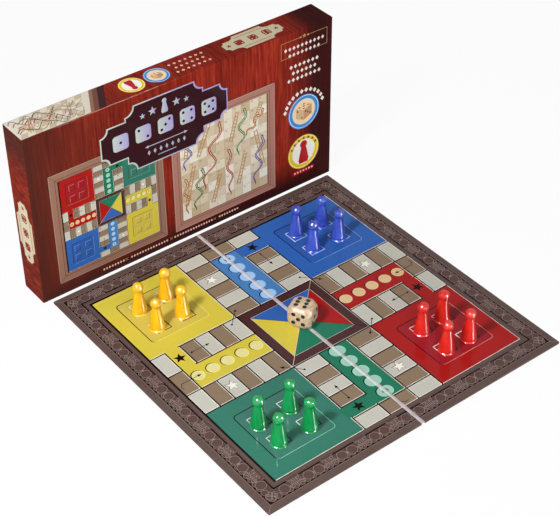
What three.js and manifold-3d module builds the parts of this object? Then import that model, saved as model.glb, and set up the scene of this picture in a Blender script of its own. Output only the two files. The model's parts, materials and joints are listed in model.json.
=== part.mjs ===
// A ludo game laid out for play: the folding board opened flat with its sixteen pawns and its die,
// and the closed box standing on its long edge behind it. Millimetres, +Z up, +Y towards the box.
// The origin lies on the table, under the middle of the whole layout.

import * as THREE from "three";
import { mergeVertices } from "three/addons/utils/BufferGeometryUtils.js";
import { RoundedBoxGeometry } from "three/addons/geometries/RoundedBoxGeometry.js";
import Module from "manifold-3d";

const wasm = await Module();
wasm.setup();

// Folding board
const boardSide = 450;
const greyboard = 2;
const paper = 0.25;
const turnIn = 15;
const sheetInset = 3;
const boardCorner = 1.2;
const spineWidth = 5;
const spineCrown = 0.3;
const tapeThickness = 0.25;

// Printed layout that the pawns follow
const borderWidth = 33.75;
const crossWidth = 117.4;
const standSide = 22;
const standNear = 37;
const standFar = 43.5;

// Pawn
const pawnHeight = 46.4;
const headRadius = 7.1;
const neckRadius = 5.1;
const skirtRadius = 10.5;
const skirtHeight = 5.8;
const footRadius = 9.3;
const pawnWall = 1.5;
const cavityHeight = 24;

// Die
const dieSide = 32.6;
const dieHeight = 31;
const dieEdgeRadius = 8;
const dieBallRadius = 20.6;
const dieTurn = THREE.MathUtils.degToRad(-60.7);
const pipRadius = 2.7;
const pipDepth = 1.3;
const pipPitch = 6.4;
const sixRowOffset = 5.8;
const dieShiftX = -0.1;
const dieShiftY = -0.9;

// Carton of the box, with the room that it leaves round the folded board
const cartonWall = 1.2;
const cartonFold = 1.5;
const trayPlay = 0.4;
const panelPlay = 0.3;
const lidRimShort = 1.5;
const lengthRoom = 4.8;
const widthRoom = 10.7;
const depthRoom = 4.7;
const tabReach = 30;
const tabSlope = 4;
const tabRimGap = 1.5;

// Layout on the table
const standGap = 7.4;

// Solid modelling
const overrun = 2;
const weld = 0.0001;
const cornerSteps = 3;
const pawnSteps = 20;
const pipSteps = 10;

// Levels of the board's layers, from the table up
const sheetTop = paper;
const lipTop = sheetTop + paper;
const coreTop = lipTop + greyboard;
const boardTop = coreTop + paper;
const tapeTop = boardTop - paper;
const tapeBottom = tapeTop - tapeThickness;

// The board folds with its undersides together, so its spine lies round two thicknesses
const foldedWidth = (boardSide - spineWidth) / 2 + paper + tapeThickness;
const foldedThickness = spineWidth + 2 * (paper + tapeThickness);

// The tray takes the folded board and, on it, the die and the pawns
const trayInnerLength = boardSide + 2 * lengthRoom;
const trayInnerHeight = foldedWidth + 2 * widthRoom;
const trayInnerDepth = foldedThickness + dieSide + depthRoom;
const trayLength = trayInnerLength + 4 * cartonWall;
const trayHeight = trayInnerHeight + 2 * cartonWall;
const trayDepth = trayInnerDepth + cartonWall;
const lidLength = trayLength + 2 * trayPlay + 4 * cartonWall;
const lidHeight = trayHeight + 2 * trayPlay + 2 * cartonWall;
const boxDepth = trayDepth + panelPlay + cartonWall;
const lidDepth = boxDepth - lidRimShort;

const layoutDepth = boardSide + standGap + boxDepth;
const boardCentreY = (boardSide - layoutDepth) / 2;
const boxFrontY = layoutDepth / 2 - boxDepth;

const colours = {
  carton: 0x7d2017,
  tray: 0xcfcac0,
  greyboard: 0x9b9184,
  ludoPrint: 0x5d4747,
  snakesPrint: 0xc6b193,
  spinePrint: 0xd8d2cc,
  tape: 0x4a3a38,
  wood: 0xd9b98c,
  yellow: 0xfcc51c,
  blue: 0x3448c8,
  red: 0xe2231a,
  green: 0x1f9e58,
};

function solidOf(geometry) {
  const bare = geometry.clone();
  bare.deleteAttribute("normal");
  bare.deleteAttribute("uv");
  const merged = mergeVertices(bare, weld);
  const mesh = new wasm.Mesh({
    numProp: 3,
    vertProperties: merged.attributes.position.array,
    triVerts: new Uint32Array(merged.index.array),
  });
  return new wasm.Manifold(mesh);
}

function geometryOf(solid) {
  const made = solid.getMesh();
  const geometry = new THREE.BufferGeometry();
  geometry.setAttribute("position", new THREE.BufferAttribute(made.vertProperties, 3));
  geometry.setIndex(new THREE.BufferAttribute(made.triVerts, 1));
  geometry.computeVertexNormals();
  return geometry;
}

function piece(name, geometry, color, roughness) {
  const material = new THREE.MeshStandardMaterial({ color, roughness, metalness: 0 });
  const mesh = new THREE.Mesh(geometry, material);
  mesh.name = name;
  return mesh;
}

// An upright solid with the given outline, between two levels
function layer(outline, bottom, top) {
  const geometry = new THREE.ExtrudeGeometry(outline, {
    depth: top - bottom,
    bevelEnabled: false,
    curveSegments: cornerSteps,
  });
  geometry.translate(0, 0, bottom);
  return solidOf(geometry);
}

// A box between two corners
function block(from, to) {
  const size = to.clone().sub(from);
  const middle = from.clone().add(to).multiplyScalar(0.5);
  const geometry = new THREE.BoxGeometry(size.x, size.y, size.z);
  geometry.translate(middle.x, middle.y, middle.z);
  return solidOf(geometry);
}

// The right half of the board from above: its crease edge stays put and its other edges are set in
function halfOutline(creaseX, inset) {
  const far = boardSide / 2 - inset;
  const round = Math.max(boardCorner - inset, 0);
  const outline = new THREE.Shape();
  outline.moveTo(creaseX, -far);
  outline.lineTo(far - round, -far);
  if (round > 0) outline.absarc(far - round, round - far, round, -Math.PI / 2, 0);
  outline.lineTo(far, far - round);
  if (round > 0) outline.absarc(far - round, far - round, round, 0, Math.PI / 2);
  outline.lineTo(creaseX, far);
  outline.closePath();
  return outline;
}

// One half of the board: a greyboard core, the ludo print wrapped round its three outer edges with
// its turned-in margin below, and the second game's sheet over the margin
function boardHalf(side) {
  const crease = spineWidth / 2;
  const half = new THREE.Group();

  const slab = layer(halfOutline(crease, paper), lipTop, coreTop);
  const plateau = layer(halfOutline(crease, paper + turnIn), sheetTop, coreTop);
  const core = slab.add(plateau);

  const past = crease - overrun;
  const hollow = layer(halfOutline(past, paper), lipTop, coreTop);
  const window = layer(halfOutline(past, paper + turnIn), sheetTop - overrun, coreTop);
  const wrap = layer(halfOutline(crease, 0), sheetTop, boardTop).subtract(hollow).subtract(window);

  const sheet = layer(halfOutline(crease, sheetInset), 0, sheetTop);

  half.add(piece("board_core_" + side, geometryOf(core), colours.greyboard, 0.95));
  half.add(piece("ludo_print_" + side, geometryOf(wrap), colours.ludoPrint, 0.3));
  half.add(piece("snakes_print_" + side, geometryOf(sheet), colours.snakesPrint, 0.35));
  return half;
}

// A strip along the crease, its profile drawn across the board
function creaseStrip(bottom, top, crown) {
  const profile = new THREE.Shape();
  profile.moveTo(-spineWidth / 2, bottom);
  profile.lineTo(spineWidth / 2, bottom);
  profile.lineTo(spineWidth / 2, top);
  if (crown > 0) profile.quadraticCurveTo(0, top + 2 * crown, -spineWidth / 2, top);
  else profile.lineTo(-spineWidth / 2, top);
  profile.closePath();
  const geometry = new THREE.ExtrudeGeometry(profile, {
    depth: boardSide,
    bevelEnabled: false,
    curveSegments: 2 * cornerSteps,
  });
  geometry.rotateX(Math.PI / 2);
  geometry.translate(0, boardSide / 2, 0);
  return geometryOf(solidOf(geometry));
}

// A folding carton's shell from the front, closed towards -Y at y = 0 and open at y = depth, with
// the glued tabs of its long walls inside its end walls
function cartonShell(length, height, depth) {
  const outline = new THREE.Shape();
  const right = length / 2;
  outline.moveTo(cartonFold - right, 0);
  outline.lineTo(right - cartonFold, 0);
  outline.absarc(right - cartonFold, cartonFold, cartonFold, -Math.PI / 2, 0);
  outline.lineTo(right, height - cartonFold);
  outline.absarc(right - cartonFold, height - cartonFold, cartonFold, 0, Math.PI / 2);
  outline.lineTo(cartonFold - right, height);
  outline.absarc(cartonFold - right, height - cartonFold, cartonFold, Math.PI / 2, Math.PI);
  outline.lineTo(-right, cartonFold);
  outline.absarc(cartonFold - right, cartonFold, cartonFold, Math.PI, 1.5 * Math.PI);

  const body = new THREE.ExtrudeGeometry(outline, {
    depth: depth + overrun,
    bevelEnabled: true,
    bevelThickness: cartonWall,
    bevelSize: cartonWall,
    bevelOffset: -cartonWall,
    bevelSegments: cornerSteps,
    curveSegments: cornerSteps,
  });
  body.rotateX(Math.PI / 2);
  body.translate(0, depth + overrun + cartonWall, 0);

  const spare = new THREE.Vector3(overrun, overrun, overrun);
  const rim = new THREE.Vector3(-right, depth, 0).sub(new THREE.Vector3(overrun, 0, overrun));
  const beyond = new THREE.Vector3(right, depth + 2 * (overrun + cartonWall), height).add(spare);
  const insideFrom = new THREE.Vector3(cartonWall - right, cartonWall, cartonWall);
  const insideTo = new THREE.Vector3(right - cartonWall, depth + overrun, height - cartonWall);
  let shell = solidOf(body).subtract(block(rim, beyond)).subtract(block(insideFrom, insideTo));

  const tab = new THREE.Shape();
  tab.moveTo(0, 0);
  tab.lineTo(tabReach, tabSlope);
  tab.lineTo(tabReach, depth - cartonWall - tabRimGap - tabSlope);
  tab.lineTo(0, depth - cartonWall - tabRimGap);
  tab.closePath();
  for (const end of [-1, 1]) {
    for (const wall of [-1, 1]) {
      const glued = new THREE.ExtrudeGeometry(tab, { depth: 1.5 * cartonWall, bevelEnabled: false });
      const turned = new THREE.Matrix4().makeBasis(
        new THREE.Vector3(0, 0, -wall),
        new THREE.Vector3(0, 1, 0),
        new THREE.Vector3(wall, 0, 0),
      );
      glued.applyMatrix4(turned);
      const reachX = end * (right - 1.25 * cartonWall) - (wall * 1.5 * cartonWall) / 2;
      const foot = wall < 0 ? cartonWall / 2 : height - cartonWall / 2;
      glued.translate(reachX, cartonWall, foot);
      shell = shell.add(solidOf(glued));
    }
  }
  return geometryOf(shell);
}

// A pawn: a ball on a flared skirt with a drawn-in foot, moulded hollow and open below
function pawnGeometry() {
  const headCentre = pawnHeight - headRadius;
  const neckAngle = Math.asin(neckRadius / headRadius);
  const neckHeight = headCentre - headRadius * Math.cos(neckAngle);
  const taper = (skirtRadius - neckRadius) / (neckHeight - skirtHeight);
  const skirtTop = skirtHeight * 1.5;

  const outside = new THREE.Path();
  outside.moveTo(footRadius, 0);
  outside.quadraticCurveTo(skirtRadius, skirtHeight / 2, skirtRadius, skirtHeight);
  outside.quadraticCurveTo(
    skirtRadius,
    skirtHeight + (skirtTop - skirtHeight) / 2,
    skirtRadius - taper * (skirtTop - skirtHeight),
    skirtTop,
  );
  const foot = outside.getPoints(cornerSteps);

  const neck = [new THREE.Vector2(neckRadius, neckHeight)];
  const head = [];
  const headSteps = 2 * cornerSteps;
  for (let i = 1; i <= headSteps; i++) {
    const angle = neckAngle + ((Math.PI - neckAngle) * i) / headSteps;
    const radius = i < headSteps ? headRadius * Math.sin(angle) : 0;
    head.push(new THREE.Vector2(radius, headCentre - headRadius * Math.cos(angle)));
  }

  const cavityRadius = skirtRadius - taper * (cavityHeight - skirtHeight) - pawnWall;
  const inside = [
    new THREE.Vector2(0, cavityHeight),
    new THREE.Vector2(cavityRadius, cavityHeight),
    new THREE.Vector2(skirtRadius - pawnWall, skirtHeight),
    new THREE.Vector2(footRadius - pawnWall, 0),
  ];
  const profile = [...inside, ...foot, ...neck, ...head];
  const geometry = new THREE.LatheGeometry(profile, pawnSteps);
  geometry.rotateX(Math.PI / 2);
  return geometryOf(solidOf(geometry));
}

// Where the pips lie on a face, in steps across and up from its middle
const pipLayouts = {
  1: [[0, 0]],
  2: [[-1, 1], [1, -1]],
  3: [[-1, -1], [0, 0], [1, 1]],
  4: [[-1, -1], [-1, 1], [1, -1], [1, 1]],
  5: [[-1, -1], [-1, 1], [0, 0], [1, -1], [1, 1]],
  6: [[-1, -1], [-1, 0], [-1, 1], [1, -1], [1, 0], [1, 1]],
};

// The die's faces by value, each with its directions across and up; opposite faces add up to seven
const dieFaces = {
  6: [new THREE.Vector3(1, 0, 0), new THREE.Vector3(0, 1, 0)],
  1: [new THREE.Vector3(-1, 0, 0), new THREE.Vector3(0, 1, 0)],
  5: [new THREE.Vector3(1, 0, 0), new THREE.Vector3(0, 0, 1)],
  2: [new THREE.Vector3(-1, 0, 0), new THREE.Vector3(0, 0, 1)],
  3: [new THREE.Vector3(0, 1, 0), new THREE.Vector3(0, 0, 1)],
  4: [new THREE.Vector3(0, -1, 0), new THREE.Vector3(0, 0, 1)],
};

// The drilling is a little off each face's middle, across and up, in shares of the step between pips
const driftShares = {
  6: [-0.125, 0.08],
  1: [0.06, -0.05],
  5: [0.09, 0.22],
  2: [-0.06, 0.08],
  3: [0, -0.09],
  4: [0.05, -0.06],
};

// A cube with rounded edges, its corners tumbled down to a ball, and a drilled hollow for each pip
function dieGeometry() {
  const cube = new RoundedBoxGeometry(dieSide, dieSide, dieHeight, cornerSteps, dieEdgeRadius);
  const ball = new THREE.SphereGeometry(dieBallRadius, 8 * cornerSteps, 6 * cornerSteps);
  let die = solidOf(cube).intersect(solidOf(ball));

  const drillRadius = (pipRadius * pipRadius + pipDepth * pipDepth) / (2 * pipDepth);
  for (const [value, [across, up]] of Object.entries(dieFaces)) {
    const out = across.clone().cross(up);
    const face = (out.z === 0 ? dieSide : dieHeight) / 2;
    const drillHeight = face + drillRadius - pipDepth;
    const stepAcross = value === "6" ? sixRowOffset : pipPitch;
    const [driftAcross, driftUp] = driftShares[value];
    for (const [i, j] of pipLayouts[value]) {
      const drill = new THREE.SphereGeometry(drillRadius, pipSteps, pipSteps / 2);
      drill.rotateX(Math.PI / 2);
      drill.applyMatrix4(new THREE.Matrix4().makeBasis(across, up, out));
      const centre = out.clone().multiplyScalar(drillHeight);
      centre.addScaledVector(across, i * stepAcross + driftAcross * pipPitch);
      centre.addScaledVector(up, (j + driftUp) * pipPitch);
      drill.translate(centre.x, centre.y, centre.z);
      die = die.subtract(solidOf(drill));
    }
  }
  return geometryOf(die);
}

// The four yards. A yard's squares stand wider apart across or along the board, and each pawn stands
// a little off its square's middle, given as shares of the square from left to right, front row first
const yards = [
  {
    colour: "yellow", right: -1, back: 1, wideAcross: false,
    standShares: [[-0.17, -0.04], [-0.09, 0.04], [-0.19, -0.24], [0.04, -0.13]],
  },
  {
    colour: "blue", right: 1, back: 1, wideAcross: true,
    standShares: [[-0.06, -0.01], [-0.13, -0.1], [0.05, 0.09], [-0.11, -0.12]],
  },
  {
    colour: "red", right: 1, back: -1, wideAcross: false,
    standShares: [[-0.1, -0.15], [-0.14, -0.2], [-0.14, -0.14], [-0.21, -0.08]],
  },
  {
    colour: "green", right: -1, back: -1, wideAcross: true,
    standShares: [[-0.15, -0.18], [-0.19, -0.31], [-0.21, -0.23], [-0.14, -0.27]],
  },
];

const playHalf = boardSide / 2 - borderWidth;
const yardX = (playHalf + (crossWidth + spineWidth) / 2) / 2;
const yardY = (playHalf + crossWidth / 2) / 2;

const game = new THREE.Group();

// The box stands on a long wall with its lid's panel towards the board
const box = new THREE.Group();
box.position.y = boxFrontY;
const lid = piece("box_lid", cartonShell(lidLength, lidHeight, lidDepth), colours.carton, 0.25);
box.add(lid);
const tray = piece("box_tray", cartonShell(trayLength, trayHeight, trayDepth), colours.tray, 0.8);
tray.rotation.z = Math.PI;
tray.position.set(0, boxDepth, cartonWall + trayPlay);
box.add(tray);
game.add(box);

const board = new THREE.Group();
board.position.y = boardCentreY;
board.add(boardHalf("right"));
const leftHalf = boardHalf("left");
leftHalf.rotation.z = Math.PI;
board.add(leftHalf);
board.add(piece("spine_print", creaseStrip(tapeTop, boardTop, spineCrown), colours.spinePrint, 0.5));
board.add(piece("spine_tape", creaseStrip(tapeBottom, tapeTop, 0), colours.tape, 0.9));

for (const yard of yards) {
  const halfAcross = (yard.wideAcross ? standFar : standNear) / 2;
  const halfAlong = (yard.wideAcross ? standNear : standFar) / 2;
  yard.standShares.forEach(([shareX, shareY], i) => {
    const pawn = piece(yard.colour + "_pawn_" + (i + 1), pawnGeometry(), colours[yard.colour], 0.2);
    const column = i % 2 === 0 ? -1 : 1;
    const row = i < 2 ? -1 : 1;
    pawn.position.set(
      yard.right * yardX + column * halfAcross + shareX * standSide,
      yard.back * yardY + row * halfAlong + shareY * standSide,
      boardTop,
    );
    board.add(pawn);
  });
}

const die = piece("wooden_die", dieGeometry(), colours.wood, 0.55);
die.rotation.z = dieTurn;
die.position.set(dieShiftX, dieShiftY, boardTop + spineCrown + dieHeight / 2);
board.add(die);
game.add(board);

export default game;
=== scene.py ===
import json
import math

import bmesh
import bpy
import numpy as np
from mathutils import Matrix, Vector

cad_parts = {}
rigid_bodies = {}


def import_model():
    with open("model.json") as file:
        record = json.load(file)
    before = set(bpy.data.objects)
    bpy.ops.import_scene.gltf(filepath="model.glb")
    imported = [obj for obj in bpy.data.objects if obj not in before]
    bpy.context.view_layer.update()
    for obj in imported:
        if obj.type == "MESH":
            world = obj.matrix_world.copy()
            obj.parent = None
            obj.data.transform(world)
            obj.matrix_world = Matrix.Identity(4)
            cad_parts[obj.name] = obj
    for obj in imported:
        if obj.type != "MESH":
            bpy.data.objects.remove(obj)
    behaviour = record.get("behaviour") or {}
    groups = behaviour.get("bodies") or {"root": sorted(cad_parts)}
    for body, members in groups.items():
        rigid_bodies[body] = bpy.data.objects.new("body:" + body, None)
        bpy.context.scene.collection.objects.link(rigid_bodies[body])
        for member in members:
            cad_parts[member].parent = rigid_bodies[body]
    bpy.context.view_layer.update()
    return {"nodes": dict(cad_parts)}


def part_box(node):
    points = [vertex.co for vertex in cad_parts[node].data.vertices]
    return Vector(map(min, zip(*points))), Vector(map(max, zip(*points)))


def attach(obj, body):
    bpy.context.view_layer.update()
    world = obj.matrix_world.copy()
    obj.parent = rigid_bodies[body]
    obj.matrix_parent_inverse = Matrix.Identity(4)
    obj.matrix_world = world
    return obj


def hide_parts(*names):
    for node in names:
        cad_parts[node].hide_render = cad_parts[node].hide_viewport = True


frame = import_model()
nodes = frame["nodes"]
mm = 0.001
print("stage: frame loaded,", len(nodes), "nodes")


# Camera

photoView = {
    "azimuth": -37.681, "elevation": 38.687, "roll": -0.298,
    "place": (-0.8650, -1.1022, 1.2090),
    "focalPixels": 1465.6, "widthPixels": 560, "sensor": 36.0,
}


def makeCamera(view):
    # the back axis comes from azimuth and elevation, and roll turns the other two axes round it
    az, el, roll = (math.radians(view[k]) for k in ("azimuth", "elevation", "roll"))
    back = Vector((math.sin(az) * math.cos(el), -math.cos(az) * math.cos(el), math.sin(el)))
    right = (-back).cross(Vector((0, 0, 1))).normalized()
    up = back.cross(right)
    acrossAxis = math.cos(roll) * right + math.sin(roll) * up
    upAxis = -math.sin(roll) * right + math.cos(roll) * up
    data = bpy.data.cameras.new("photoCamera")
    data.sensor_width = view["sensor"]
    data.sensor_fit = "HORIZONTAL"
    data.lens = view["focalPixels"] * view["sensor"] / view["widthPixels"]
    camera = bpy.data.objects.new("photoCamera", data)
    turn = Matrix((acrossAxis, upAxis, back)).transposed()
    camera.matrix_world = Matrix.Translation(view["place"]) @ turn.to_4x4()
    bpy.context.scene.collection.objects.link(camera)
    bpy.context.scene.camera = camera


makeCamera(photoView)


# Node helpers

def srgb(code):
    # six hex digits of a screen colour, turned to linear light
    value = np.array([int(code[i:i + 2], 16) for i in (0, 2, 4)]) / 255
    low = value / 12.92
    high = ((value + 0.055) / 1.055) ** 2.4
    return tuple(np.where(value <= 0.04045, low, high)) + (1.0,)


def newMaterial(name, **sockets):
    material = bpy.data.materials.new(name)
    material.use_nodes = True
    shader = material.node_tree.nodes["Principled BSDF"]
    for socket, value in sockets.items():
        shader.inputs[socket.replace("_", " ")].default_value = value
    return material, material.node_tree, shader


def addNode(tree, kind, inputs=None, **settings):
    made = tree.nodes.new(kind)
    for key, value in settings.items():
        setattr(made, key, value)
    for socket, value in (inputs or {}).items():
        if isinstance(value, bpy.types.NodeSocket):
            tree.links.new(value, made.inputs[socket])
        else:
            made.inputs[socket].default_value = value
    return made


def objectPlace(tree, stretch=(1, 1, 1), turn=(0, 0, 0), shift=(0, 0, 0)):
    coords = addNode(tree, "ShaderNodeTexCoord")
    mapping = addNode(tree, "ShaderNodeMapping", {
        "Vector": coords.outputs["Object"], "Scale": stretch, "Rotation": turn, "Location": shift,
    })
    return mapping.outputs["Vector"]


def noise(tree, scale, detail=3.0, rough=0.5, **placing):
    # fractal noise over the object's own coordinates, which placing may stretch, turn or shift
    made = addNode(tree, "ShaderNodeTexNoise", {
        "Vector": objectPlace(tree, **placing), "Scale": scale, "Detail": detail, "Roughness": rough,
    })
    return made.outputs["Fac"]


def ramp(tree, source, stops):
    # stops are pairs of a share and a colour or a grey level
    made = addNode(tree, "ShaderNodeValToRGB", {"Fac": source})
    elements = made.color_ramp.elements
    while len(elements) < len(stops):
        elements.new(0.5)
    for element, (share, colour) in zip(elements, stops):
        element.position = share
        element.color = srgb(colour) if isinstance(colour, str) else (colour, colour, colour, 1)
    return made.outputs["Color"]


def mixColour(tree, share, first, second, blend="MIX"):
    made = addNode(tree, "ShaderNodeMix", data_type="RGBA", blend_type=blend)
    for index, value in ((0, share), (6, first), (7, second)):
        if isinstance(value, bpy.types.NodeSocket):
            tree.links.new(value, made.inputs[index])
        else:
            made.inputs[index].default_value = srgb(value) if isinstance(value, str) else value
    return made.outputs[2]


def overlay(tree, share, base, source, stops):
    return mixColour(tree, share, base, ramp(tree, source, stops), "OVERLAY")


def math2(tree, operation, first, second=0.0):
    made = addNode(tree, "ShaderNodeMath", {0: first, 1: second}, operation=operation)
    return made.outputs[0]


def seenRays(tree):
    # 1 for what the camera sees, straight or in gloss and glass, and 0 for what lights the room
    path = addNode(tree, "ShaderNodeLightPath")
    seen = math2(tree, "MAXIMUM", path.outputs["Is Camera Ray"], path.outputs["Is Glossy Ray"])
    return math2(tree, "MAXIMUM", seen, path.outputs["Is Transmission Ray"])


def wire(tree, shader, **sources):
    for socket, source in sources.items():
        tree.links.new(source, shader.inputs[socket.replace("_", " ")])


def addBump(tree, shader, height, strength, depth, normal="Normal"):
    made = addNode(tree, "ShaderNodeBump", {"Height": height, "Strength": strength, "Distance": depth})
    tree.links.new(made.outputs["Normal"], shader.inputs[normal])


# Mesh helpers

def finishPiece(name, mesh, body, materials, smooth=False):
    mesh.name = name
    for material in materials:
        mesh.materials.append(material)
    mesh.polygons.foreach_set("use_smooth", np.full(len(mesh.polygons), smooth))
    mesh.update()
    piece = bpy.data.objects.new(name, mesh)
    bpy.context.scene.collection.objects.link(piece)
    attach(piece, body)
    return piece


def dressNode(name, material):
    # a CAD piece keeps its shape and gets a new material
    nodes[name].data.materials.clear()
    nodes[name].data.materials.append(material)


def gridFaces(rows, columns, closeColumns=False):
    # quads between neighbours on a grid of points, numbered row by row
    c = np.arange(columns if closeColumns else columns - 1)
    r, c = np.meshgrid(np.arange(rows - 1) * columns, c, indexing="ij")
    after = (c + 1) % columns
    return np.stack([r + c, r + after, r + columns + after, r + columns + c], -1).reshape(-1, 4)


def polar(reach, angle):
    # reach (cos t, sin t)
    return np.stack([reach * np.cos(angle), reach * np.sin(angle)], -1)


def revolve(profile, steps):
    # each profile point (radius, height) is carried round the upright axis
    radius, height = profile[:, :1], profile[:, 1:]
    ring = polar(radius, np.arange(steps) * 2 * math.pi / steps)
    upright = np.broadcast_to(height[..., None], (len(profile), steps, 1))
    points = np.concatenate([ring, upright], -1)
    return points.reshape(-1, 3), gridFaces(len(profile), steps, closeColumns=True)


def meshOf(points, faces, weld=0.0):
    mesh = bpy.data.meshes.new("made")
    mesh.from_pydata(points.tolist(), [], faces.tolist() if isinstance(faces, np.ndarray) else faces)
    if weld:
        shape = bmesh.new()
        shape.from_mesh(mesh)
        bmesh.ops.remove_doubles(shape, verts=shape.verts, dist=weld)
        bmesh.ops.recalc_face_normals(shape, faces=shape.faces)
        shape.to_mesh(mesh)
        shape.free()
    return mesh


def paintPoints(mesh, colours):
    inkColour = mesh.attributes.new("inkColour", "FLOAT_COLOR", "POINT")
    inkColour.data.foreach_set("color", colours.astype(np.float32).ravel())


# Printed inks: flat outlines, each raised to its own level over the sheet, like varnish on a print

fourCorners = np.array([(-1, -1), (1, -1), (-1, 1), (1, 1)])


def sideways(along):
    # a quarter turn to the left
    return np.stack([-along[..., 1], along[..., 0]], -1)


def rowAt(xs, y):
    # points side by side at one height
    return np.stack(np.broadcast_arrays(xs, y), -1)


def stamp(centres, shape):
    # one outline round each centre
    return np.asarray(centres, float).reshape(-1, 1, 2) + shape


def rects(corners):
    # rows of left, front, right, back become four points each
    return np.asarray(corners, float).reshape(-1, 4)[:, [[0, 1], [2, 1], [2, 3], [0, 3]]]


def bars(middles, halfWidth, low, high):
    # upright rectangles of one width, each round its middle
    return rects(np.stack(np.broadcast_arrays(middles - halfWidth, low, middles + halfWidth, high), -1))


def discs(centres, radius, steps=40):
    # a circle of points round each centre: centre + radius (cos t, sin t)
    return stamp(centres, polar(radius, np.arange(steps) * 2 * math.pi / steps))


def stars(centres, radius, heading=math.pi / 2, waist=0.42):
    # ten points whose distance from the middle swings between the radius and its waist
    step = np.arange(10)
    reach = radius * np.where(step % 2 == 0, 1.0, waist)
    return stamp(centres, polar(reach, heading + step * math.pi / 5))


def roundRect(x0, y0, x1, y1, radius, steps=6):
    # quarter circles round four corner centres
    turn = np.linspace(0, math.pi / 2, steps)
    corners = rects((x0 + radius, y0 + radius, x1 - radius, y1 - radius))[0, [2, 3, 0, 1]]
    return np.concatenate([c + polar(radius, turn + k * math.pi / 2) for k, c in enumerate(corners)])[None]


def ribbon(path, width):
    # a path with half the width added on each side along its normals
    path = np.asarray(path, float)
    along = np.gradient(path, axis=0)
    along /= np.linalg.norm(along, axis=1, keepdims=True)
    side = sideways(along) * np.asarray(width, float).reshape(-1, 1) / 2
    return np.concatenate([path - side, (path + side)[::-1]])[None]


def sideOf(outline, keepSign):
    # cut at x = 0: a point stays on the kept side, and an edge that crosses adds its crossing point
    inside = outline[:, 0] * keepSign >= 0
    after = np.roll(outline, -1, 0)
    crosses = inside != np.roll(inside, -1)
    run = np.where(crosses, after[:, 0] - outline[:, 0], 1.0)
    cut = outline - (after - outline) * (outline[:, 0] / run)[:, None]
    return np.stack([outline, cut], 1)[np.stack([inside, crosses], 1)]


class InkSheet:
    # collects outlines with a colour and a level, and builds them as one mesh of thin closed slabs
    def __init__(self, tones):
        self.tones = tones
        self.inks = []

    def add(self, outlines, colour, level):
        # the colour is a name among the sheet's tones, six hex digits, or a pair of those
        self.inks += [(np.asarray(o, float), self.tones.get(colour, colour), level) for o in outlines]

    def nest(self, box, *steps):
        # rectangles in a box, each with one inset or with its left, front, right and back ones,
        # a colour, a level and, if its corners are round, their radius
        for inset, colour, level, *radius in steps:
            corners = np.add(box, np.multiply(inset, (1, 1, -1, -1)))
            self.add(roundRect(*corners, *radius) if radius else rects(corners), colour, level)

    def line(self, first, last, width, colour, level):
        self.add(ribbon([first, last], width), colour, level)

    def take(self, other, place=(0, 0), scale=1.0, lift=0, turn=np.eye(2)):
        for outline, colour, level in other.inks:
            self.inks.append((outline @ turn * scale + place, colour, level + lift))

    def half(self, sign, shift):
        made = InkSheet(self.tones)
        for outline, colour, level in self.inks:
            kept = sideOf(outline, sign)
            if len(kept):
                made.add([kept + (sign * shift, 0)], colour, level)
        return made

    def build(self, name, origin, across, up, body, slot, rise=0.006):
        # a point lands at origin + u across + v up + level out, and each outline closes with a wall round it
        origin, across, up = (np.array(v, float) for v in (origin, across, up))
        out = np.cross(across, up)
        points, faces, colours = [], [], []
        start = 0
        for outline, colour, level in self.inks:
            count = len(outline)
            flat = origin + outline[:, :1] * mm * across + outline[:, 1:] * mm * up
            points += [flat, flat + out * rise * level * mm]
            ring = np.arange(count)
            after = (ring + 1) % count
            walls = np.stack([ring, after, after + count, ring + count], -1) + start
            faces += [(ring[::-1] + start).tolist(), (ring + count + start).tolist()] + walls.tolist()
            if isinstance(colour, tuple):
                # a pair of colours blends over the outline's own width
                share = (outline[:, :1] - outline[:, 0].min()) / np.ptp(outline[:, 0])
                tone = np.array(srgb(colour[0])) * (1 - share) + np.array(srgb(colour[1])) * share
            else:
                tone = np.tile(srgb(colour), (count, 1))
            colours.append(np.tile(tone, (2, 1)))
            start += 2 * count
        mesh = meshOf(np.concatenate(points), faces)
        paintPoints(mesh, np.concatenate(colours))
        return finishPiece(name, mesh, body, [inkPrint])


# Materials

printLook = {
    "roughness": 0.5, "coat": 0.24, "woodCoat": 0.05, "coatRoughness": 0.06, "mottle": 0.05, "wave": 0.05,
}


def filmMaterial(name, coat):
    # a matt print under a clear glossy film
    return newMaterial(name, Specular_IOR_Level=0.0, Coat_Weight=coat,
                       Coat_Roughness=printLook["coatRoughness"], Coat_IOR=1.45)


def filmBumps(tree, shader, grain, waves, depth):
    # fine paper grain under the film, and slow waves in the film
    addBump(tree, shader, noise(tree, grain, 2), 0.08, 0.0002)
    addBump(tree, shader, noise(tree, waves, 2), printLook["wave"], depth, "Coat Normal")


def glossyPrint(name, strands=None):
    # laminated print: ink colour, or strands of two colours, with a faint mottle
    material, tree, shader = filmMaterial(name, printLook["coat"])
    if strands:
        base = mixColour(tree, noise(tree, 1.0, 4, stretch=(60, 420, 60)), *strands)
    else:
        base = addNode(tree, "ShaderNodeAttribute", attribute_name="inkColour").outputs["Color"]
    mottle, rough = printLook["mottle"], printLook["roughness"]
    tone = overlay(tree, 0.6, base, noise(tree, 900, 2), [(0.3, 0.5 - mottle), (0.7, 0.5 + mottle)])
    patches = ramp(tree, noise(tree, 40, 4), [(0.3, rough - 0.06), (0.7, rough + 0.08)])
    wire(tree, shader, Base_Color=tone, Roughness=patches)
    filmBumps(tree, shader, 1500, 22, 0.01)
    return material


inkPrint = glossyPrint("inkPrint")
borderPrint = glossyPrint("borderPrint", ("513f3d", "6f5a54"))

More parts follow.
